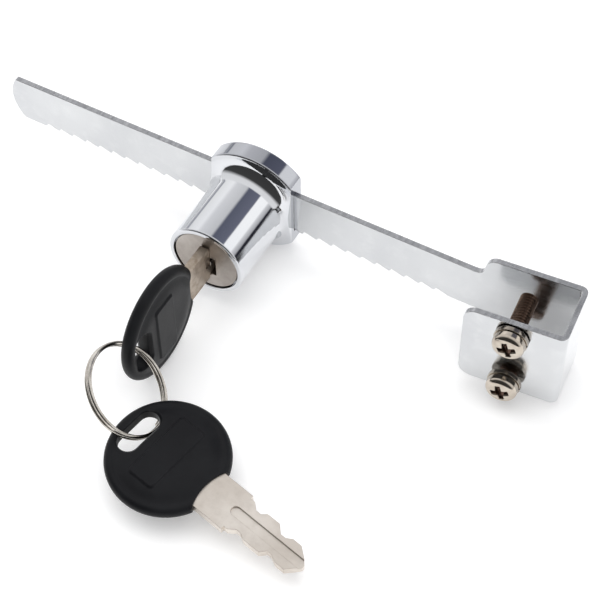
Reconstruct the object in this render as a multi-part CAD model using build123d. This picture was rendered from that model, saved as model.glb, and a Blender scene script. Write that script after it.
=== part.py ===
"""Ratchet lock for a sliding glass display door, with two keys on a split ring.

Millimetres. The origin is the centre of the hook's inner web face, where the edge of the glass seats.
+X runs along the ratchet bar towards the hook, -Y is the side the lock faces, and +Z is up. The hook is
bent back a little from the bar, about Z, and is drawn square in its own frame before it is turned.
"""
from build123d import *
from math import cos, radians, sin
import os

os.makedirs("parts", exist_ok=True)

# ---- driving dimensions ------------------------------------------------------------------------
SHEET = 1.2                # steel strip of the bar and hook
BAR_LENGTH = 141.0         # free end to the outside of the web, along X
BAR_HEIGHT = 11.5
TOOTH_PITCH = 3.55
TOOTH_COUNT = 29
TOOTH_DEPTH = 1.0
TOOTH_RISE = 0.6           # run of the steep face behind each tip
FIRST_TOOTH = 8.35         # free end to the first tip

GLASS_GAP = 12.4           # clear width of the hook
HOOK_HEIGHT = 21.2
FLANGE_LENGTH = 21.5       # front plate, free edge to the outside of the web
SHOULDER_X = -20.6         # where the strip widens into the hook's rear plate
HOOK_CORNER_R = 2.8
SHOULDER_R = 1.6           # inside corners of the shoulder
HOOK_TURN = 5.5            # degrees the hook is bent from the bar
BEND_X = -23.0             # bend line, in the hook's own frame

SCREW_X = -9.8             # clamp screws, M4
SCREW_SPACING = 13.6
SCREW_R = 1.95
SCREW_HOLE_R = 2.0
SCREW_LENGTH = 12.0
HEAD_R = 3.4
HEAD_HEIGHT = 2.7
WASHER_T = 0.9
WASHER_R = 3.6
WASHER_STANDOFF = {"upper": 0.35, "lower": 1.1}

LOCK_X = -75.8             # lock axis as stored on the bar
BARREL_R = 8.95
BARREL_LENGTH = 20.75      # face to the front of the bar
DRUM_R = 13.15
DRUM_FRONT = 1.4           # drum front face to the front of the bar
DRUM_REAR = 3.15           # front of the bar to the drum rear face
DRUM_HALF_WIDTH = 9.8      # flats that the bar comes out of
ROOT_R = 3.6               # fillet where the barrel meets the drum
SLOT_CLEARANCE = 0.1
RUNNING = 0.05             # radial clearance of the plug

PLUG_FACE_R = 7.6
PLUG_FACE_BORE_R = 7.9
PLUG_RECESS = 0.25         # plug face below the barrel face
PLUG_FACE_T = 2.5
PLUG_R = 6.6
PLUG_LENGTH = 18.1         # face to the back of the plug
WAFER_PITCH = 2.3
WAFER_T = 1.2
WAFER_COUNT = 5
KEYWAY_T = 2.2
KEYWAY_H = 8.2
MOUTH = (2.4, -3.6, 1.6, 2.3)  # wide side of the keyway mouth: half width, low, high, depth

PAWL_TRAVEL = 1.2
PAWL_HALF_WIDTH = 3.0

BOW_R = 12.8               # key heads
BOW_T = 4.0
BOW_RIM_T = 2.6
BOW_SLOT = (4.6, 10.4)     # ring slot, across and along
BOW_SLOT_U = -8.1          # slot centre from the head's centre
PANEL = (7.4, 16.6)        # raised oblong panel, across and along
PANEL_U = -0.2
BLADE_T = 2.0
BLADE_SHOULDER = 18.55     # head centre to the shoulder that meets the plug
BLADE_TIP = 35.6

RING_R = 9.9               # split ring, middle of the wire
RING_WIRE = 0.44
RING_TURN = 0.93           # pitch of the two turns

# ---- places worked out from them -----------------------------------------------------------------
HOOK_AT = Rot(0, 0, HOOK_TURN)
HOOK_Y = GLASS_GAP / 2                      # inner face of the hook's rear plate, in its own frame
TURN = radians(HOOK_TURN)
BAR_Y = BEND_X * sin(TURN) + HOOK_Y * cos(TURN)     # front face of the bar
BAR_END_X = BEND_X * cos(TURN) - HOOK_Y * sin(TURN)
TIP_X = SHEET - BAR_LENGTH
HALF = BAR_HEIGHT / 2
BARREL_FACE = BAR_Y - BARREL_LENGTH
TOOTH_X = [TIP_X + FIRST_TOOTH + i * TOOTH_PITCH for i in range(TOOTH_COUNT)]
FLANGE_X = SHEET - FLANGE_LENGTH
FLANGE_Y = -HOOK_Y - SHEET                  # outside of the front plate
KEY_1_Y = BARREL_FACE - BLADE_SHOULDER      # head centre of the key in the plug
WAFER_Y = [BARREL_FACE + 4.3 + i * WAFER_PITCH for i in range(WAFER_COUNT)]
RETAINER_Y = BARREL_FACE + 16.1


def block(x0, x1, y0, y1, z0, z1):
    """Box between two corners."""
    return Pos((x0 + x1) / 2, (y0 + y1) / 2, (z0 + z1) / 2) * Box(x1 - x0, y1 - y0, z1 - z0)


def rod(r, y0, y1, x=0.0, z=0.0):
    """Cylinder along Y."""
    return Pos(x, (y0 + y1) / 2, z) * Rot(90, 0, 0) * Cylinder(r, y1 - y0)


def plate_xz(points, y0, y1):
    """Flat piece with an outline in X and Z, between two Y planes."""
    face = make_face(Polyline(*points, close=True))
    return extrude(Plane((0, y1, 0), x_dir=(1, 0, 0), z_dir=(0, -1, 0)) * face, y1 - y0)


def coil(radius, wire, pitch, turns):
    """Round-wire coil along Z, from z = 0."""
    path = Helix(pitch, pitch * turns, radius)
    return sweep(Plane(origin=path @ 0, z_dir=path % 0) * Circle(wire), path=path, is_frenet=True)


def save(name, shape):
    shape.label = name
    export_step(shape, f"parts/{name}.step")


# ---- ratchet bar and hook: one strip, cut, toothed and folded ------------------------------------
def hook():
    """The strip's folded end, square in its own frame, from the bend line to the web."""
    out_y = HOOK_Y + SHEET
    neck = block(BEND_X, SHOULDER_X + 1, HOOK_Y, out_y, -HALF, HALF)
    body = block(SHOULDER_X, SHEET, -out_y, out_y, -HOOK_HEIGHT / 2, HOOK_HEIGHT / 2)
    body = fillet(body.edges().filter_by(Axis.Z).group_by(Axis.X)[-1], 1.7)
    cavity = block(SHOULDER_X - 1, 0, -HOOK_Y, HOOK_Y, -HOOK_HEIGHT, HOOK_HEIGHT)
    cavity = fillet(cavity.edges().filter_by(Axis.Z).group_by(Axis.X)[-1], 0.5)
    body -= cavity
    body -= block(SHOULDER_X - 1, FLANGE_X, -out_y - 1, 0, -HOOK_HEIGHT, HOOK_HEIGHT)
    corners = body.edges().filter_by(Axis.Y).filter_by(lambda e: e.center().X < FLANGE_X + 0.1)
    body = fillet(corners, HOOK_CORNER_R) + neck
    inner = body.edges().filter_by(Axis.Y).filter_by(
        lambda e: abs(e.center().X - SHOULDER_X) < 0.05 and abs(abs(e.center().Z) - HALF) < 0.05)
    body = fillet(inner, SHOULDER_R)
    for z in (SCREW_SPACING / 2, -SCREW_SPACING / 2):
        body -= rod(SCREW_HOLE_R, FLANGE_Y - 1, -HOOK_Y + 1, SCREW_X, z)
    return body


def ratchet_bar():
    low = [(TOOTH_X[0], -HALF)]
    for tip in TOOTH_X:
        low += [(tip, -HALF), (tip + TOOTH_RISE, -HALF + TOOTH_DEPTH)]
    low = low[1:] + [(TOOTH_X[-1] + TOOTH_PITCH, -HALF)]
    end = ThreePointArc((TIP_X + 1.5, HALF), (TIP_X, HALF - 5.2), (TIP_X + 2.6, -HALF))
    rest = Polyline((TIP_X + 2.6, -HALF), *low, (BAR_END_X, -HALF), (BAR_END_X, HALF), (TIP_X + 1.5, HALF))
    outline = make_face(end + rest)
    strip = extrude(Plane((0, BAR_Y + SHEET, 0), x_dir=(1, 0, 0), z_dir=(0, -1, 0)) * outline, SHEET)
    return strip + HOOK_AT * hook()


# ---- clamp screws and their lock washers ---------------------------------------------------------
def clamp_screw(z, standoff):
    seat = FLANGE_Y - standoff - WASHER_T - RUNNING  # underside of the head
    head = rod(HEAD_R, seat - HEAD_HEIGHT, seat, SCREW_X, z)
    head = fillet(head.edges().group_by(Axis.Y)[0], 1.1)
    recess = block(-1.9, 1.9, -0.1, 1.6, -0.42, 0.42)
    recess += block(-0.42, 0.42, -0.1, 1.6, -1.9, 1.9)
    recess += Pos(0, 0.75, 0) * Rot(-90, 0, 0) * Cone(1.15, 0.55, 1.7)
    shank = rod(SCREW_R, seat - 0.1, seat + SCREW_LENGTH, SCREW_X, z)
    shank = chamfer(shank.edges().group_by(Axis.Y)[-1], 0.35)
    return head + shank - Pos(SCREW_X, seat - HEAD_HEIGHT, z) * Rot(0, 20, 0) * recess


def lock_washer(z, standoff):
    back = FLANGE_Y - standoff
    ring = rod(WASHER_R, back - WASHER_T, back, SCREW_X, z)
    ring -= rod(SCREW_HOLE_R + 0.05, back - 2, back + 1, SCREW_X, z)
    cut = Pos(SCREW_X + 2.8, back - WASHER_T / 2, z) * Rot(0, 0, 24) * Box(3.2, 3, 0.5)
    return ring - cut


# ---- lock housing --------------------------------------------------------------------------------
def lock_housing():
    drum_front, drum_rear = BAR_Y - DRUM_FRONT, BAR_Y + DRUM_REAR
    drum = rod(DRUM_R, drum_front, drum_rear)
    drum = fillet(drum.edges(), 0.5)
    body = drum + rod(BARREL_R, BARREL_FACE, drum_front + 0.5)
    root = body.edges().filter_by(GeomType.CIRCLE).filter_by(
        lambda e: abs(e.radius - BARREL_R) < 0.01 and abs(e.center().Y - drum_front) < 0.01)
    body = fillet(root, ROOT_R)
    body &= block(-DRUM_HALF_WIDTH, DRUM_HALF_WIDTH, BARREL_FACE, drum_rear, -DRUM_R, DRUM_R)
    face = body.edges().filter_by(GeomType.CIRCLE).filter_by(
        lambda e: abs(e.radius - BARREL_R) < 0.01 and abs(e.center().Y - BARREL_FACE) < 0.01)
    body = fillet(face, 0.45)

    body -= rod(PLUG_FACE_BORE_R, BARREL_FACE - 1, BARREL_FACE + PLUG_FACE_T + RUNNING)
    body -= rod(PLUG_R + RUNNING, BARREL_FACE, BAR_Y - 0.75)
    body -= rod(PLUG_R + 0.75, RETAINER_Y - 0.6, RETAINER_Y + 0.6)     # ring groove for the retainer
    for z in (1, -1):                                                  # grooves the wafers lock into
        body -= block(-4.1, 4.1, WAFER_Y[0] - 0.8, WAFER_Y[-1] + 0.8, *sorted((z * 5.0, z * 7.4)))
        body -= block(*sorted((z * 5.0, z * 7.4)), WAFER_Y[0] - 0.8, WAFER_Y[-1] + 0.8, -4.1, 4.1)

    slot = HALF + SLOT_CLEARANCE
    body -= block(-DRUM_R, DRUM_R, BAR_Y - SLOT_CLEARANCE, BAR_Y + SHEET + SLOT_CLEARANCE, -slot, slot)
    body -= block(-PAWL_HALF_WIDTH - 0.1, PAWL_HALF_WIDTH + 0.1, BAR_Y - 0.5, BAR_Y + 1.7, -14, -HALF + 1.3)
    body -= block(-PAWL_HALF_WIDTH - 0.1, PAWL_HALF_WIDTH + 0.1, BAR_Y - 2.4, BAR_Y - 0.4, -7.8, -4)
    return Pos(LOCK_X, 0, 0) * body


def spring_plug():
    width = PAWL_HALF_WIDTH + 0.1
    return Pos(LOCK_X, 0, 0) * block(-width, width, BAR_Y - 0.5, BAR_Y + 1.7, -12.75, -11.8)


def pawl():
    """Toothed slider, drawn held down clear of the bar."""
    left = TOOTH_X[15] - LOCK_X                      # tip of the tooth beside the gap it drops into
    top = -HALF - 0.45 - PAWL_TRAVEL
    nose = [(left + 0.22, top), (left + 0.72, top + 1.2), (left + 0.86, top + 1.2), (left + 3.3, top + 0.35)]
    points = [(-PAWL_HALF_WIDTH, top)] + nose + [(left + 3.3, top), (PAWL_HALF_WIDTH, top),
                                                 (PAWL_HALF_WIDTH, -9.4), (-PAWL_HALF_WIDTH, -9.4)]
    slider = plate_xz(points, BAR_Y - 0.4, BAR_Y + 1.6)
    slider += block(-PAWL_HALF_WIDTH, PAWL_HALF_WIDTH, BAR_Y - 2.3, BAR_Y - 0.4, -7.7, -5.35)
    return Pos(LOCK_X, 0, 0) * slider


# ---- plug: everything that turns with the key ----------------------------------------------------
def plug_core():
    core = rod(PLUG_FACE_R, BARREL_FACE + PLUG_RECESS, BARREL_FACE + PLUG_FACE_T)
    core = fillet(core.edges().group_by(Axis.Y)[0], 0.25)
    core += rod(PLUG_R, BARREL_FACE + PLUG_FACE_T, BARREL_FACE + PLUG_LENGTH)
    half_h, half_t = KEYWAY_H / 2, KEYWAY_T / 2
    core -= block(-half_t, half_t, BARREL_FACE - 1, BARREL_FACE + PLUG_LENGTH - 0.9, -half_h, half_h)
    wide, low, high, depth = MOUTH
    core -= block(0, wide, BARREL_FACE, BARREL_FACE + depth, low, high)
    core -= block(-half_t - 0.6, 0, BARREL_FACE, BARREL_FACE + depth, 2.2, 3.3)
    ward = block(half_t - 0.45, half_t + 0.2, BARREL_FACE, BARREL_FACE + PLUG_LENGTH - 0.9, -0.6, 0.6)
    core += ward
    for y in WAFER_Y:
        core -= block(-4.05, 4.05, y - WAFER_T / 2 - 0.05, y + WAFER_T / 2 + 0.05, -7, 7)
    core -= block(-3.05, 3.05, RETAINER_Y - 0.55, RETAINER_Y + 0.55, -5.25, 8)
    core -= rod(1.0, BARREL_FACE + PLUG_LENGTH - 0.7, BARREL_FACE + PLUG_LENGTH + 1, 0, -4.2)
    return Pos(LOCK_X, 0, 0) * core


def drive_pin():
    back = BARREL_FACE + PLUG_LENGTH
    return Pos(LOCK_X, 0, 0) * rod(1.0, back - 0.7, back + 1.7, 0, -4.2)


def wafer(y):
    plate = rod(PLUG_R - 0.1, y - WAFER_T / 2, y + WAFER_T / 2)
    plate &= block(-4, 4, y - 1, y + 1, -8, 8)
    plate -= block(-1.15, 1.15, y - 1, y + 1, -4.15, 4.15)
    plate -= block(2.3, 4.2, y - 1, y + 1, -2.3, 2.3)                  # room for its spring
    return Pos(LOCK_X, 0, 0) * plate


def wafer_springs():
    one = coil(0.42, 0.11, 0.62, 7)
    return Compound(children=[Pos(LOCK_X + 3.2, y, -2.17) * one for y in WAFER_Y])


def retaining_wafer():
    plate = block(-3, 3, RETAINER_Y - 0.5, RETAINER_Y + 0.5, -5.2, 7.2)
    plate &= rod(PLUG_R + 0.65, RETAINER_Y - 1, RETAINER_Y + 1)
    plate -= block(-1.15, 1.15, RETAINER_Y - 1, RETAINER_Y + 1, -4.15, 4.15)
    return Pos(LOCK_X, 0, 0) * plate


# ---- keys: +X is along the blade, Z is across the thickness, the head's centre is the origin -----
def key_blade():
    shoulder = [(9.6, 4.6), (BLADE_SHOULDER, 4.6), (BLADE_SHOULDER, 3.9)]
    upper = [(19.7, 3.9), (21.1, 2.7), (22.3, 2.7), (23.3, 3.6), (26.4, 3.6), (28.0, 2.1), (29.2, 2.1),
             (30.5, 2.9), (32.6, 2.9), (34.8, 1.2)]
    lower = [(34.9, -1.2), (33.2, -3.0), (31.0, -3.0), (29.3, -2.2), (28.4, -2.2), (27.2, -3.5),
             (23.3, -3.5), (21.9, -2.8), (20.9, -2.8), (19.5, -3.9)]
    tail = [(BLADE_SHOULDER, -3.9), (BLADE_SHOULDER, -4.6), (9.6, -4.6)]
    tang = [(9.6, -3.2), (-4.0, -3.2), (-4.0, 3.2), (9.6, 3.2)]
    outline = make_face(Polyline(*shoulder, *upper, (BLADE_TIP, 0.3), (BLADE_TIP, -0.3), *lower, *tail,
                                 *tang, close=True))
    blade = extrude(Pos(0, 0, -BLADE_T / 2) * outline, BLADE_T)
    for side, offset in ((1, 0.0), (-1, 1.6)):                         # milled grooves, one on each face
        start = 17.2 + abs(offset)
        groove = Pos((BLADE_TIP + start) / 2, offset, side * BLADE_T / 2) * Box(BLADE_TIP - start, 2.1, 0.9)
        groove = fillet(groove.edges().filter_by(Axis.Z).group_by(Axis.X)[0], 1.0)
        blade -= groove
    return blade


def key_head():
    """Moulded grip: a round, softly domed disc with a raised oblong panel and a slot for the ring."""
    half, rim = BOW_T / 2, BOW_RIM_T / 2
    dome = Spline((0, half), (5.5, half), (BOW_R - 3.6, half - 0.25), (BOW_R - 1.9, rim + 0.05),
                  tangents=((1, 0), (1, -0.08)))
    lip = ThreePointArc((BOW_R - 1.9, rim + 0.05), (BOW_R - 0.45, rim - 0.25), (BOW_R, 0))
    upper = make_face(dome + lip + Polyline((BOW_R, 0), (0, 0), (0, half)))
    head = revolve(Plane.XZ * upper, Axis.Z)
    head += mirror(head, Plane.XY)
    for side in (1, -1):                                               # raised oblong panel
        panel = RectangleRounded(*PANEL, 1.4)
        raised = extrude(Plane((PANEL_U, 0, side * (half - 0.4)), z_dir=(0, 0, side)) * panel,
                         0.75, taper=45)
        head += raised
    head -= Pos(21.2, 0, 0) * Cylinder(11.1, 10)                       # hollow where the blade leaves
    across, along = BOW_SLOT
    slot = Rot(0, 0, 90) * SlotOverall(along, across)
    head -= extrude(Pos(BOW_SLOT_U, 0, -5) * slot, 10)
    for side in (1, -1):                                               # eased mouth of the slot
        mouth = Plane((BOW_SLOT_U, 0, side * (rim - 0.1)), x_dir=(0, 1, 0), z_dir=(0, 0, side))
        head -= extrude(mouth * SlotOverall(along, across), 1.5, taper=-38)
    return head - key_blade()


def place_key_1(shape):
    """Blade into the plug, flat faces upright."""
    return Pos(LOCK_X, KEY_1_Y, 0) * Plane((0, 0, 0), x_dir=(0, 1, 0), z_dir=(1, 0, 0)).location * shape


def split_ring():
    ring = coil(RING_R, RING_WIRE, RING_TURN, 2)
    return Pos(0, 0, -RING_TURN) * ring


# Where the split ring hangs and the second key lies.
RING_AT = Plane((LOCK_X + 3.1, KEY_1_Y - 16.8, -1.2), z_dir=(0.68, 0.21, 0.70))
KEY_2_AT = Pos(LOCK_X + 17.2, KEY_1_Y - 24.4, -5.2) * Rot(0, 0, -12) * Rot(0, 3.7, 0) * Rot(4.3, 0, 0)


# ---- write one file per piece --------------------------------------------------------------------
def main():
    save("ratchet_bar", ratchet_bar())
    save("lock_housing", lock_housing())
    save("spring_plug", spring_plug())
    save("pawl", pawl())
    save("pawl_spring", Pos(LOCK_X, BAR_Y + 0.6, -11.62) * coil(0.75, 0.16, 0.41, 5))
    save("plug_core", plug_core())
    save("drive_pin", drive_pin())
    save("retaining_wafer", retaining_wafer())
    for i, y in enumerate(WAFER_Y):
        save(f"wafer_{i + 1}", wafer(y))
    save("wafer_springs", wafer_springs())
    save("key_1_blade", place_key_1(key_blade()))
    save("key_1_head", place_key_1(key_head()))
    save("split_ring", RING_AT.location * split_ring())
    save("key_2_blade", KEY_2_AT * key_blade())
    save("key_2_head", KEY_2_AT * key_head())
    for side, z in (("upper", SCREW_SPACING / 2), ("lower", -SCREW_SPACING / 2)):
        save(f"clamp_screw_{side}", HOOK_AT * clamp_screw(z, WASHER_STANDOFF[side]))
        save(f"lock_washer_{side}", HOOK_AT * lock_washer(z, WASHER_STANDOFF[side]))


if __name__ == "__main__":
    main()
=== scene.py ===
"""Looks for the sliding glass door ratchet lock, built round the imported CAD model. Metres, Z up."""

import math

import bpy
from mathutils import Matrix, Vector


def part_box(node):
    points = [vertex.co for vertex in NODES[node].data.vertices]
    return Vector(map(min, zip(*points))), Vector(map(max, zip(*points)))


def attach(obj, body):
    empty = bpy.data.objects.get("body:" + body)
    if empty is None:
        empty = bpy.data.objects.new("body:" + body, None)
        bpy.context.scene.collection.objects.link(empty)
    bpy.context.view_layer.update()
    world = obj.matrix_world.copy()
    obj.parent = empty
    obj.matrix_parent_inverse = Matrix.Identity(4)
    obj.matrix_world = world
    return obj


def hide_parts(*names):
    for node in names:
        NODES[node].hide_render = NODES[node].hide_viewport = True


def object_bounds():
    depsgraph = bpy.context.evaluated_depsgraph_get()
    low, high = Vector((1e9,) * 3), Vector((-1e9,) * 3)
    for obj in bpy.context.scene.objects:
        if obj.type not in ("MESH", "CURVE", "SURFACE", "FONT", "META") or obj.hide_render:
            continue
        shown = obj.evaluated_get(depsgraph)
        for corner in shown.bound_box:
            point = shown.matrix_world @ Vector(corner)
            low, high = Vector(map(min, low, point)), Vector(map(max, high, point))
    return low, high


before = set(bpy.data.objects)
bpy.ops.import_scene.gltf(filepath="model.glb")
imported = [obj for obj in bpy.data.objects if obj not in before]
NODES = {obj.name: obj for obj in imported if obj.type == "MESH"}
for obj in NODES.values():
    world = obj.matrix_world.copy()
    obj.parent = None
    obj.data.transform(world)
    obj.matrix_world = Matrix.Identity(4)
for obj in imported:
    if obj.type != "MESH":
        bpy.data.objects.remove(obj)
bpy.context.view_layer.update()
MM = 0.001

scene = bpy.context.scene
scene.view_settings.view_transform = "Standard"
scene.view_settings.look = "None"

# ---- camera ---------------------------------------------------------------------------------------
AZIMUTH, ELEVATION, ROLL = (math.radians(v) for v in (30.06, 51.95, -0.86))
CAMERA_AT = (0.0587, -0.2097, 0.2859)
LENS, SENSOR = 105.1, 36                                         # millimetres
CLIP = (0.01, 20)


def add_camera():
    back = Vector((math.sin(AZIMUTH) * math.cos(ELEVATION), -math.cos(AZIMUTH) * math.cos(ELEVATION),
                   math.sin(ELEVATION)))
    right = Vector((math.cos(AZIMUTH), math.sin(AZIMUTH), 0))
    up = back.cross(right)
    axis_x = right * math.cos(ROLL) + up * math.sin(ROLL)
    axis_y = up * math.cos(ROLL) - right * math.sin(ROLL)
    data = bpy.data.cameras.new("camera")
    data.lens, data.sensor_width = LENS, SENSOR
    data.clip_start, data.clip_end = CLIP
    camera = bpy.data.objects.new("camera", data)
    scene.collection.objects.link(camera)
    turn = Matrix((axis_x, axis_y, back)).transposed()
    camera.matrix_world = Matrix.Translation(CAMERA_AT) @ turn.to_4x4()
    scene.camera = camera


# ---- node helpers ---------------------------------------------------------------------------------
EDGE_DOT = (0.995, 0.86)                                         # flat normal . rounded normal: off, full
FACING_SHARE = (0.45, 0.75)                                      # the normal's part on that axis: off, full
BEVEL_SAMPLES = 6


class Shader:
    """A material's node tree, with one call for each kind of node used here."""

    def __init__(self, name, metallic=0.0, ior=None):
        self.material = bpy.data.materials.new(name)
        self.material.use_nodes = True
        self.tree = self.material.node_tree
        self.tree.nodes.clear()
        out = self.add("ShaderNodeOutputMaterial")
        self.surface = self.add("ShaderNodeBsdfPrincipled")
        self.surface.inputs["Metallic"].default_value = metallic
        if ior:
            self.surface.inputs["IOR"].default_value = ior
        self.link(self.surface.outputs[0], out.inputs["Surface"])
        self.place = self.add("ShaderNodeTexCoord").outputs["Object"]

    def turned(self, angle):
        """Use coordinates of a frame turned about Z."""
        node = self.add("ShaderNodeMapping")
        self.link(self.place, node.inputs["Vector"])
        node.inputs["Rotation"].default_value = (0.0, 0.0, -angle)
        self.place = node.outputs[0]

    def add(self, kind, **settings):
        node = self.tree.nodes.new(kind)
        for key, value in settings.items():
            setattr(node, key, value)
        return node

    def link(self, a, b):
        self.tree.links.new(a, b)

    def feed(self, socket, value):
        if isinstance(value, bpy.types.NodeSocket):
            self.link(value, socket)
        else:
            socket.default_value = value

    def scaled(self, x, y, z):
        node = self.add("ShaderNodeMapping")
        self.link(self.place, node.inputs["Vector"])
        node.inputs["Scale"].default_value = (x, y, z)
        return node.outputs[0]

    def noise(self, scale, detail=4.0, rough=0.55, vector=None, distortion=0.0):
        node = self.add("ShaderNodeTexNoise")
        self.link(vector or self.place, node.inputs["Vector"])
        node.inputs["Scale"].default_value = scale
        node.inputs["Detail"].default_value = detail
        node.inputs["Roughness"].default_value = rough
        node.inputs["Distortion"].default_value = distortion
        return node.outputs["Fac"]

    def cells(self, scale):
        node = self.add("ShaderNodeTexVoronoi", feature="F1")
        self.link(self.place, node.inputs["Vector"])
        node.inputs["Scale"].default_value = scale
        return node.outputs["Distance"]

    def spread(self, value, low, high, to_low, to_high):
        node = self.add("ShaderNodeMapRange")
        self.link(value, node.inputs["Value"])
        ends = (("From Min", low), ("From Max", high), ("To Min", to_low), ("To Max", to_high))
        for key, number in ends:
            self.feed(node.inputs[key], number)
        return node.outputs["Result"]

    def sum(self, a, b, kind="ADD"):
        node = self.add("ShaderNodeMath", operation=kind)
        self.feed(node.inputs[0], a)
        self.feed(node.inputs[1], b)
        return node.outputs[0]

    def mix(self, share, a, b):
        node = self.add("ShaderNodeMix", data_type="RGBA", blend_type="MIX")
        self.feed(node.inputs["Factor"], share)
        for socket, value in ((node.inputs[6], a), (node.inputs[7], b)):
            self.feed(socket, (*value, 1.0) if isinstance(value, tuple) else value)
        return node.outputs[2]

    def edges(self, radius):
        """(share near an outside or inside edge, the rounded normal)."""
        bevel = self.add("ShaderNodeBevel", samples=BEVEL_SAMPLES)
        bevel.inputs["Radius"].default_value = radius
        normal = self.add("ShaderNodeNewGeometry").outputs["Normal"]
        dot = self.add("ShaderNodeVectorMath", operation="DOT_PRODUCT")
        self.link(bevel.outputs[0], dot.inputs[0])
        self.link(normal, dot.inputs[1])
        return self.spread(dot.outputs["Value"], *EDGE_DOT, 0.0, 1.0), bevel.outputs[0]

    def facing(self, axis):
        """Share of the surface that faces along an object axis (0, 1 or 2), either way."""
        split = self.add("ShaderNodeSeparateXYZ")
        self.link(self.add("ShaderNodeTexCoord").outputs["Normal"], split.inputs[0])
        return self.spread(self.sum(split.outputs[axis], 0.0, "ABSOLUTE"), *FACING_SHARE, 0.0, 1.0)

    def bump(self, height, distance, strength=1.0, normal=None):
        node = self.add("ShaderNodeBump")
        node.inputs["Strength"].default_value = strength
        node.inputs["Distance"].default_value = distance
        self.link(height, node.inputs["Height"])
        if normal is not None:
            self.link(normal, node.inputs["Normal"])
        return node.outputs[0]

    def finish(self, colour, roughness, normal=None, **plain):
        self.feed(self.surface.inputs["Base Color"], colour)
        self.feed(self.surface.inputs["Roughness"], roughness)
        if normal is not None:
            self.link(normal, self.surface.inputs["Normal"])
        for key, value in plain.items():
            self.surface.inputs[key.replace("_", " ")].default_value = value
        return self.material


# ---- materials ------------------------------------------------------------------------------------
Z_AXIS = 2
DRUM_DEPTH = 4.3 * MM                                            # of the drum, at the back of the housing, which gets a painted dark reflection
TURNING_RINGS = 38000.0                                          # radians of ring pattern per metre
RECESS_SHADE = (0.32 * MM, 0.62 * MM)                            # depth below the crown where the painted shade in the recess starts and where it is full
SHANK_SHADE = (3.3 * MM, 3.7 * MM)                               # the same for the painted shade along the thread


def strip_steel():
    """Plated strip, faintly rolled along its length and mottled, with greyer sheared edges and painted
    highlights along the edges.
    """
    m = Shader("strip_steel", metallic=1.0)
    rolled = m.noise(900, 3, 0.6, m.scaled(0.05, 1.0, 1.6))
    mottle = m.noise(260, 5, 0.6)
    cloud = m.noise(38, 3, 0.5)
    edge, rounded = m.edges(0.35 * MM)
    cut = m.facing(Z_AXIS)
    shear = m.noise(1500, 3, 0.7, m.scaled(1.0, 0.12, 1.0))
    plate = m.mix(m.spread(cloud, 0.35, 0.65, 0.0, 1.0), (0.60, 0.61, 0.625), (0.68, 0.69, 0.70))
    plate = m.mix(m.spread(mottle, 0.5, 0.7, 0.0, 0.35), plate, (0.76, 0.77, 0.775))
    sheared = m.mix(m.spread(shear, 0.3, 0.7, 0.0, 1.0), (0.30, 0.305, 0.32), (0.52, 0.525, 0.54))
    colour = m.mix(cut, plate, sheared)
    # painted highlight: paler colour near every edge of the strip
    colour = m.mix(m.sum(edge, 0.5, "MULTIPLY"), colour, (0.86, 0.865, 0.87))
    rough = m.sum(m.spread(rolled, 0.3, 0.7, 0.12, 0.18), m.spread(mottle, 0.3, 0.7, -0.03, 0.05))
    rough = m.sum(rough, m.sum(cut, 0.12, "MULTIPLY"))
    height = m.sum(m.sum(rolled, 0.15, "MULTIPLY"), m.sum(mottle, 0.6, "MULTIPLY"))
    height = m.sum(height, m.sum(m.sum(shear, cut, "MULTIPLY"), 1.8, "MULTIPLY"))
    return m.finish(colour, rough, m.bump(height, 0.012 * MM, 1.0, rounded))


def lock_chrome(drum_y):
    """Bright chrome on a die casting: a little orange peel, hairline scratches, softened corners, painted
    highlights along the edges and a painted dark reflection on the drum.
    """
    m = Shader("lock_chrome", metallic=1.0)
    peel = m.noise(420, 2, 0.5)
    hair = m.noise(5200, 2, 0.7, m.scaled(1.0, 0.04, 1.0), 0.6)
    haze = m.noise(60, 4, 0.6)
    edge, rounded = m.edges(0.28 * MM)
    split = m.add("ShaderNodeSeparateXYZ")
    m.link(m.place, split.inputs[0])
    # painted dark reflection: from drum_y back, the drum is coloured darker as if it mirrored a dark room
    drum = m.spread(split.outputs[1], drum_y - 0.3 * MM, drum_y + 0.1 * MM, 0.0, 1.0)
    colour = m.mix(m.spread(haze, 0.4, 0.7, 0.0, 0.5), (0.70, 0.71, 0.73), (0.64, 0.655, 0.685))
    # painted dark reflection on the drum
    colour = m.mix(drum, colour, (0.46, 0.47, 0.50))
    # painted highlight: the chrome is made paler near every edge
    colour = m.mix(m.sum(edge, 0.35, "MULTIPLY"), colour, (0.80, 0.805, 0.81))
    rough = m.sum(m.spread(haze, 0.35, 0.75, 0.035, 0.085), m.spread(hair, 0.62, 0.8, 0.0, 0.07))
    height = m.sum(peel, m.sum(hair, 0.05, "MULTIPLY"))
    return m.finish(colour, rough, m.bump(height, 0.006 * MM, 1.0, rounded))


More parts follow.
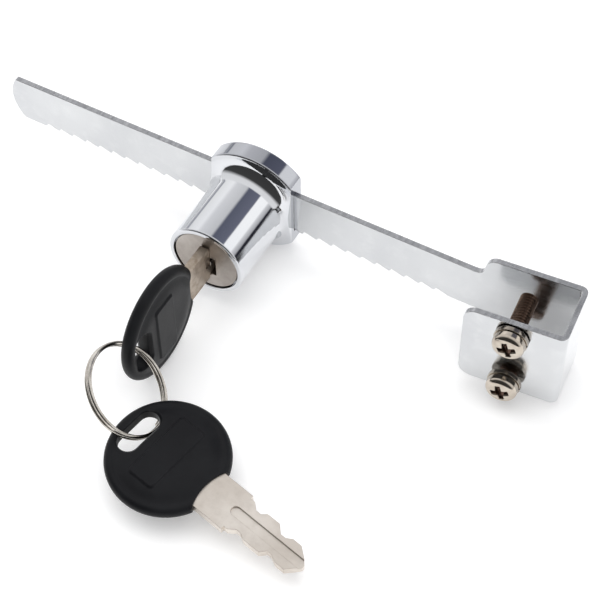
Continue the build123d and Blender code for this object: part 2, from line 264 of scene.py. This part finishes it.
def plug_satin(centre_x):
    """Turned face: fine rings round the plug's axis over warm satin nickel, with painted highlights along the
    edges.
    """
    m = Shader("plug_satin", metallic=1.0)
    split = m.add("ShaderNodeSeparateXYZ")
    m.link(m.place, split.inputs[0])
    across = m.sum(split.outputs[0], centre_x, "SUBTRACT")
    square = m.sum(m.sum(across, across, "MULTIPLY"), m.sum(split.outputs[2], split.outputs[2], "MULTIPLY"))
    radius = m.sum(square, 0.5, "POWER")
    rings = m.sum(m.sum(m.sum(radius, TURNING_RINGS, "MULTIPLY"), 0.0, "SINE"), 0.5, "MULTIPLY")
    grain = m.noise(1400, 4, 0.65)
    stain = m.noise(170, 4, 0.6)
    edge, rounded = m.edges(0.2 * MM)
    colour = m.mix(m.spread(stain, 0.35, 0.7, 0.0, 1.0), (0.50, 0.465, 0.43), (0.34, 0.30, 0.27))
    # painted highlight: paler colour near every edge of the plug
    colour = m.mix(m.sum(edge, 0.6, "MULTIPLY"), colour, (0.62, 0.55, 0.46))
    rough = m.sum(m.spread(grain, 0.3, 0.7, 0.30, 0.46), m.sum(rings, 0.04, "MULTIPLY"))
    height = m.sum(rings, m.sum(grain, 1.6, "MULTIPLY"))
    return m.finish(colour, rough, m.bump(height, 0.008 * MM, 1.0, rounded))


def plain_steel(name, low, high, rough_low, rough_high, stretch=(1.0, 1.0, 1.0),
                edge_highlight_colour=(0.7, 0.7, 0.7)):
    """Turned, drawn or stamped metal: fine lines, stretched where asked, patches and painted highlights along
    the edges.
    """
    m = Shader(name, metallic=1.0)
    lines = m.noise(2400, 3, 0.6, m.scaled(*stretch))
    patches = m.noise(300, 4, 0.6)
    edge, rounded = m.edges(0.12 * MM)
    colour = m.mix(m.spread(patches, 0.35, 0.68, 0.0, 1.0), high, low)
    # painted highlight: the given colour near every edge
    colour = m.mix(m.sum(edge, 0.6, "MULTIPLY"), colour, edge_highlight_colour)
    rough = m.spread(lines, 0.3, 0.7, rough_low, rough_high)
    return m.finish(colour, rough, m.bump(m.sum(lines, patches), 0.006 * MM, 1.0, rounded))


def key_plate(name, along, low, high, dark_patch_share):
    """Nickel-plated brass blade: milled along its length, darker brown in patches, brown at worn edges."""
    m = Shader(name, metallic=0.85)
    milled = m.noise(1800, 3, 0.6, m.scaled(*along))
    wear = m.noise(420, 4, 0.65)
    cloud = m.noise(90, 3, 0.5)
    edge, rounded = m.edges(0.14 * MM)
    colour = m.mix(m.spread(cloud, 0.35, 0.65, 0.0, 1.0), low, high)
    colour = m.mix(m.spread(wear, 0.45, 0.72, 0.0, dark_patch_share), colour, (0.20, 0.14, 0.09))
    rubbed = m.sum(edge, m.spread(wear, 0.40, 0.62, 0.35, 1.0), "MULTIPLY")
    colour = m.mix(m.sum(rubbed, 0.7, "MULTIPLY"), colour, (0.36, 0.24, 0.15))
    rough = m.sum(m.spread(milled, 0.3, 0.7, 0.30, 0.42), m.spread(wear, 0.45, 0.7, 0.0, 0.06))
    height = m.sum(m.sum(milled, 0.5, "MULTIPLY"), m.sum(wear, 0.3, "MULTIPLY"))
    return m.finish(colour, rough, m.bump(height, 0.008 * MM, 1.0, rounded))


def key_plastic():
    """Black moulded grip: spark-eroded satin grain, handling shine and pale rub marks on the edges."""
    m = Shader("key_plastic", ior=1.5)
    grain = m.cells(4200)
    fine = m.noise(2600, 4, 0.7)
    handled = m.noise(110, 4, 0.6)
    lint = m.noise(700, 5, 0.75)
    edge, rounded = m.edges(0.35 * MM)
    colour = m.mix(m.spread(handled, 0.4, 0.7, 0.0, 1.0), (0.007, 0.0072, 0.0085), (0.011, 0.0115, 0.013))
    colour = m.mix(m.sum(m.sum(edge, 0.5, "MULTIPLY"), m.spread(lint, 0.45, 0.7, 0.0, 1.0), "MULTIPLY"),
                   colour, (0.055, 0.055, 0.06))
    rough = m.sum(m.spread(handled, 0.35, 0.7, 0.36, 0.48), m.spread(fine, 0.3, 0.7, -0.03, 0.05))
    height = m.sum(m.sum(grain, 0.7, "MULTIPLY"), m.sum(fine, 0.9, "MULTIPLY"))
    return m.finish(colour, rough, m.bump(height, 0.018 * MM, 0.8, rounded), Specular_IOR_Level=0.15)


def screw_nickel(name, centre_x, centre_z, head_low_y, recess_r, turn):
    """Warm bright nickel, with painted shade: dark brown in the cross recess and darker brown along the
    threads.
    """
    m = Shader(name, metallic=1.0)
    m.turned(turn)
    split = m.add("ShaderNodeSeparateXYZ")
    m.link(m.place, split.inputs[0])
    dx = m.sum(split.outputs[0], centre_x, "SUBTRACT")
    dz = m.sum(split.outputs[2], centre_z, "SUBTRACT")
    radius = m.sum(m.sum(m.sum(dx, dx, "MULTIPLY"), m.sum(dz, dz, "MULTIPLY")), 0.5, "POWER")
    depth = m.sum(split.outputs[1], head_low_y, "SUBTRACT")
    # painted shade: the cross recess turns dark brown with depth
    inside = m.sum(m.spread(radius, recess_r * 1.05, recess_r * 0.98, 0.0, 1.0),
                   m.spread(depth, *RECESS_SHADE, 0.0, 1.0), "MULTIPLY")
    # painted shade along the thread, past SHANK_SHADE below the crown
    shank = m.spread(depth, *SHANK_SHADE, 0.0, 1.0)
    patches = m.noise(500, 4, 0.6)
    lines = m.noise(3000, 2, 0.5)
    colour = m.mix(m.spread(patches, 0.35, 0.7, 0.0, 1.0), (0.60, 0.54, 0.465), (0.47, 0.41, 0.345))
    # painted shade in the cross recess
    colour = m.mix(m.sum(inside, 0.95, "MULTIPLY"), colour, (0.075, 0.04, 0.03))
    # painted shade: darker brown over the thread, in patches
    colour = m.mix(m.sum(shank, m.spread(patches, 0.3, 0.7, 0.55, 0.95), "MULTIPLY"),
                   colour, (0.17, 0.115, 0.085))
    rough = m.sum(m.spread(patches, 0.3, 0.7, 0.08, 0.17), m.sum(shank, 0.12, "MULTIPLY"))
    return m.finish(colour, rough, m.bump(m.sum(lines, patches), 0.006 * MM))


def floor_paper():
    """White paper, lit a little from within so that it stays white all over."""
    m = Shader("floor_paper")
    fibre = m.noise(900, 4, 0.6)
    colour = m.mix(m.spread(fibre, 0.3, 0.7, 0.0, 1.0), (0.90, 0.90, 0.90), (0.915, 0.915, 0.915))
    m.surface.inputs["Emission Color"].default_value = (1.0, 1.0, 1.0, 1.0)
    m.surface.inputs["Emission Strength"].default_value = 0.22
    return m.finish(colour, 0.9, m.bump(fibre, 0.02 * MM), Specular_IOR_Level=0.1)


def paint(names, material):
    for name in names:
        node = NODES[name]
        node.data.materials.clear()
        node.data.materials.append(material)
        node.data.polygons.foreach_set("use_smooth", [True] * len(node.data.polygons))


# ---- pieces made here -----------------------------------------------------------------------------
AROUND = 96                                                      # points in each ring of a screw
CROWN_ROWS, SHOULDER_ROWS, THREAD_ROWS = 46, 12, 12              # the last is for each turn of the thread
THREAD_PITCH = 0.7 * MM
THREAD_DEPTH = 0.40 * MM
THREAD_RELIEF = 0.02 * MM
FLANK_SLOPE, ROOT_FLAT, FADE_FLOOR = 1.25, 0.12, 0.12
FADE_IN, FADE_OUT = 0.6 * MM, 0.5 * MM
RECESS_R = 2.0 * MM
RECESS_TURN = math.radians(20)
HUB_DEPTH = 1.45 * MM
HOOK_TURN = math.radians(5.5)                                    # the hook's turn from the bar, about Z
SCREW_X = -9.8 * MM                                              # this and HEAD_TOP_Y are before that turn
HEAD_TOP_Y = {"upper": -11.40 * MM, "lower": -12.15 * MM}
HEAD_HEIGHT = 2.7 * MM
SHANK_R, SHANK_LENGTH = 1.95 * MM, 12.0 * MM
SEAT_R = 2.4 * MM                                                # inner edge of the face under the head
CROWN_R = 2.15 * MM                                              # nearly flat middle of the head
CROWN = 0.28 * MM
SHOULDER_DROP = 1.55 * MM


def smooth_step(low, high, value):
    t = min(max((value - low) / (high - low), 0.0), 1.0)
    return t * t * (3 - 2 * t)


def recess_depth(x, z):
    """Depth of the cross recess at a point on the head: four tapered arms round a deeper hub."""
    c, s = math.cos(RECESS_TURN), math.sin(RECESS_TURN)
    u, v = c * x + s * z, c * z - s * x
    deepest = 0.0
    for along, across in ((abs(u), abs(v)), (abs(v), abs(u))):
        half = (0.74 - 0.18 * along / RECESS_R) * MM
        arm = 1 - smooth_step(half - 0.05 * MM, half + 0.04 * MM, across)
        arm *= 1 - smooth_step(RECESS_R - 0.10 * MM, RECESS_R, along)
        floor = (1.55 - 0.85 * along / RECESS_R) * MM
        deepest = max(deepest, arm * floor)
    hub = 1 - smooth_step(0.70 * MM, 0.82 * MM, math.hypot(x, z))
    return max(deepest, hub * HUB_DEPTH)


def clamp_screw(side):
    """Pan-head machine screw as one closed mesh, built along +Y and then turned with the hook."""
    node = f"clamp_screw_{side}"
    low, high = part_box(node)
    cx, cz = SCREW_X, (low.z + high.z) / 2
    head_r, top = (high.z - low.z) / 2, HEAD_TOP_Y[side]
    seat = top + HEAD_HEIGHT
    tip = seat + SHANK_LENGTH
    rows = []                                                    # (radius, y, recessed, threaded)
    for i in range(1, CROWN_ROWS + 1):
        r = CROWN_R * i / CROWN_ROWS
        rows.append((r, top + CROWN * (r / CROWN_R) ** 2, True, False))
    for i in range(1, SHOULDER_ROWS + 1):
        t = math.pi / 2 * i / SHOULDER_ROWS
        rows.append((CROWN_R + (head_r - CROWN_R) * math.sin(t),
                     top + CROWN + (SHOULDER_DROP - CROWN) * (1 - math.cos(t)), False, False))
    rows += [(head_r, seat - 0.35 * MM, False, False),
             (head_r - 0.03 * MM, seat - 0.10 * MM, False, False),
             (head_r - 0.12 * MM, seat, False, False),
             (SEAT_R, seat, False, False),
             (SHANK_R - 0.12 * MM, seat + 0.02 * MM, False, False)]
    start, end = seat + 0.5 * MM, tip - 0.35 * MM
    count = int((end - start) / (THREAD_PITCH / THREAD_ROWS))
    for i in range(count + 1):
        rows.append((SHANK_R, start + (end - start) * i / count, False, True))
    rows += [(SHANK_R - THREAD_DEPTH - 0.15 * MM, tip - 0.06 * MM, False, False),
             (SHANK_R - THREAD_DEPTH - 0.4 * MM, tip, False, False)]
    points = [(cx, top + recess_depth(0, 0), cz)]
    for radius, y, recessed, threaded in rows:
        for k in range(AROUND):
            a = 2 * math.pi * k / AROUND
            r, down = radius, 0.0
            if recessed:
                down = recess_depth(r * math.cos(a), r * math.sin(a))
            if threaded:
                phase = ((y - start) / THREAD_PITCH + k / AROUND) % 1.0
                ridge = min(max(abs(phase - 0.5) * 2 * FLANK_SLOPE - ROOT_FLAT, 0.0), 1.0)
                fade = min((y - start) / FADE_IN, (end - y) / FADE_OUT, 1.0)
                r -= THREAD_DEPTH * max(fade, FADE_FLOOR) * (1 - ridge) + THREAD_RELIEF
            points.append((cx + r * math.cos(a), y + down, cz + r * math.sin(a)))
    points.append((cx, tip, cz))
    faces = [(0, 1 + (k + 1) % AROUND, 1 + k) for k in range(AROUND)]
    for j in range(len(rows) - 1):
        a, b = 1 + j * AROUND, 1 + (j + 1) * AROUND
        faces += [(a + k, a + (k + 1) % AROUND, b + (k + 1) % AROUND, b + k) for k in range(AROUND)]
    last, end_point = 1 + (len(rows) - 1) * AROUND, len(points) - 1
    faces += [(last + k, last + (k + 1) % AROUND, end_point) for k in range(AROUND)]
    c, s = math.cos(HOOK_TURN), math.sin(HOOK_TURN)
    points = [(c * x - s * y, s * x + c * y, z) for x, y, z in points]
    mesh = bpy.data.meshes.new(node + "_threaded")
    mesh.from_pydata(points, [], [tuple(reversed(f)) for f in faces])
    mesh.update()
    mesh.polygons.foreach_set("use_smooth", [True] * len(mesh.polygons))
    mesh.materials.append(screw_nickel(node + "_nickel", cx, cz, top, RECESS_R, HOOK_TURN))
    screw = bpy.data.objects.new(node + "_threaded", mesh)
    scene.collection.objects.link(screw)
    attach(screw, f"screw_{side}")
    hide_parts(node)


# ---- surroundings ---------------------------------------------------------------------------------
FLOOR_HALF, FLOOR_GAP = 3.0, 0.3 * MM


def add_floor():
    mesh = bpy.data.meshes.new("floor")
    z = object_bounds()[0].z - FLOOR_GAP
    corners = [(-1, -1), (1, -1), (1, 1), (-1, 1)]
    mesh.from_pydata([(x * FLOOR_HALF, y * FLOOR_HALF, z) for x, y in corners], [], [(0, 1, 2, 3)])
    mesh.materials.append(floor_paper())
    floor = bpy.data.objects.new("floor", mesh)
    scene.collection.objects.link(floor)


WHITE, SOFT, BLUE = (1.25, 1.25, 1.25), (0.62, 0.63, 0.65), (0.17, 0.18, 0.24)
BLACK = (0.02, 0.02, 0.03)
BACK_WALL = [(-180, SOFT), (-20, (0.5, 0.5, 0.5)), (-19, BLACK), (9, BLACK),
             (11, (0.5, 0.5, 0.52)), (22, (0.80, 0.80, 0.82)), (27, WHITE), (52, WHITE), (55, BLUE),
             (90, (0.13, 0.14, 0.19)), (97, (0.72, 0.725, 0.74)), (128, (0.86, 0.86, 0.88)),
             (140, (1.12, 1.12, 1.13)), (168, (1.0, 1.0, 1.0)), (172, (0.25, 0.26, 0.32)), (176, SOFT),
             (180, SOFT)]                                        # (degrees from +X towards +Z, colour)
# (Y of the direction, grey), then how much bluer than grey, then the wall's share over the room
ROOM = [(-1.0, 0.05), (-0.40, 0.06), (-0.22, 0.55), (-0.10, 0.90), (0.40, 0.95), (1.0, 0.95)]
ROOM_BLUE = 1.01
WALL_SHARE = [(-1.0, (0, 0, 0)), (0.40, (0, 0, 0)), (0.49, (1, 1, 1)), (1.0, (1, 1, 1))]


def add_world():
    """A studio seen in the metal: a striped wall towards +Y, dark towards -Y and bright between."""
    world = bpy.data.worlds.new("studio")
    scene.world = world
    world.use_nodes = True
    tree = world.node_tree
    tree.nodes.clear()
    link = tree.links.new
    out = tree.nodes.new("ShaderNodeOutputWorld")
    back = tree.nodes.new("ShaderNodeBackground")
    place = tree.nodes.new("ShaderNodeTexCoord").outputs["Generated"]
    split = tree.nodes.new("ShaderNodeSeparateXYZ")
    link(place, split.inputs[0])

    def ramp(value, low, high, stops):
        spread = tree.nodes.new("ShaderNodeMapRange")
        spread.inputs["From Min"].default_value = low
        spread.inputs["From Max"].default_value = high
        link(value, spread.inputs["Value"])
        node = tree.nodes.new("ShaderNodeValToRGB")
        link(spread.outputs["Result"], node.inputs["Fac"])
        share = [((at - low) / (high - low), colour) for at, colour in stops]
        elements = node.color_ramp.elements
        elements[0].position, elements[1].position = share[0][0], share[-1][0]
        elements[0].color, elements[1].color = (*share[0][1], 1), (*share[-1][1], 1)
        for at, colour in share[1:-1]:
            elements.new(at).color = (*colour, 1)
        return node.outputs["Color"]

    def blend(share, a, b):
        node = tree.nodes.new("ShaderNodeMix")
        node.data_type = "RGBA"
        link(share, node.inputs["Factor"])
        link(a, node.inputs[6])
        link(b, node.inputs[7])
        return node.outputs[2]

    angle = tree.nodes.new("ShaderNodeMath")
    angle.operation = "ARCTAN2"
    link(split.outputs["Z"], angle.inputs[0])
    link(split.outputs["X"], angle.inputs[1])
    wall = ramp(angle.outputs[0], -math.pi, math.pi,
                [(math.radians(at), colour) for at, colour in BACK_WALL])
    room = ramp(split.outputs["Y"], -1.0, 1.0, [(at, (v, v, v * ROOM_BLUE)) for at, v in ROOM])
    share = ramp(split.outputs["Y"], -1.0, 1.0, WALL_SHARE)
    link(blend(share, room, wall), back.inputs["Color"])
    link(back.outputs[0], out.inputs["Surface"])


LIGHT_AIM = (-0.06, -0.03, 0.0)


def add_light(name, at, size, watts):
    """A round lamp that lights the lock but isn't seen in the metal."""
    data = bpy.data.lights.new(name, "AREA")
    data.shape, data.size, data.energy = "DISK", size, watts
    light = bpy.data.objects.new(name, data)
    scene.collection.objects.link(light)
    light.location = at
    light.rotation_euler = (Vector(LIGHT_AIM) - Vector(at)).to_track_quat("-Z", "Y").to_euler()
    light.visible_glossy = False


# ---- everything together --------------------------------------------------------------------------
def main():
    add_camera()
    plug_low, plug_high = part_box("plug_core")
    paint(["ratchet_bar"], strip_steel())
    paint(["lock_housing", "spring_plug"], lock_chrome(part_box("lock_housing")[1].y - DRUM_DEPTH))
    paint(["plug_core"], plug_satin((plug_low.x + plug_high.x) / 2))
    paint(["pawl", "drive_pin"], plain_steel("pin_steel", (0.20, 0.19, 0.18), (0.42, 0.42, 0.42), 0.25, 0.45))
    brass = plain_steel("wafer_brass", (0.42, 0.29, 0.12), (0.62, 0.46, 0.22), 0.22, 0.38, (1, 1, 0.1),
                        (0.8, 0.66, 0.38))
    paint(["retaining_wafer"] + [f"wafer_{i}" for i in range(1, 6)], brass)
    paint(["pawl_spring", "wafer_springs"],
          plain_steel("spring_steel", (0.25, 0.25, 0.26), (0.5, 0.5, 0.52), 0.2, 0.35))
    # key 1's blade gets darker, browner colours and more dark patches than key 2's
    paint(["key_1_blade"], key_plate("key_plate_1", (1.0, 0.06, 1.0),
                                     (0.40, 0.33, 0.26), (0.58, 0.50, 0.42), 0.75))
    paint(["key_2_blade"], key_plate("key_plate_2", (0.10, 1.0, 1.0),
                                     (0.68, 0.62, 0.555), (0.80, 0.745, 0.68), 0.12))
    paint(["key_1_head", "key_2_head"], key_plastic())
    paint(["split_ring"], plain_steel("ring_steel", (0.40, 0.37, 0.33), (0.70, 0.665, 0.61), 0.10, 0.22,
                                      (1, 1, 1), (0.8, 0.8, 0.8)))
    paint(["lock_washer_upper", "lock_washer_lower"],
          plain_steel("washer_steel", (0.26, 0.225, 0.19), (0.46, 0.42, 0.37), 0.12, 0.25, (1, 0.2, 1),
                      (0.75, 0.70, 0.62)))
    for side in ("upper", "lower"):
        clamp_screw(side)
    add_floor()
    add_world()
    add_light("top_soft", (-0.15, -0.10, 1.0), 1.2, 6.0)
    add_light("front_soft", (0.45, -0.80, 0.75), 1.0, 3.5)


main()
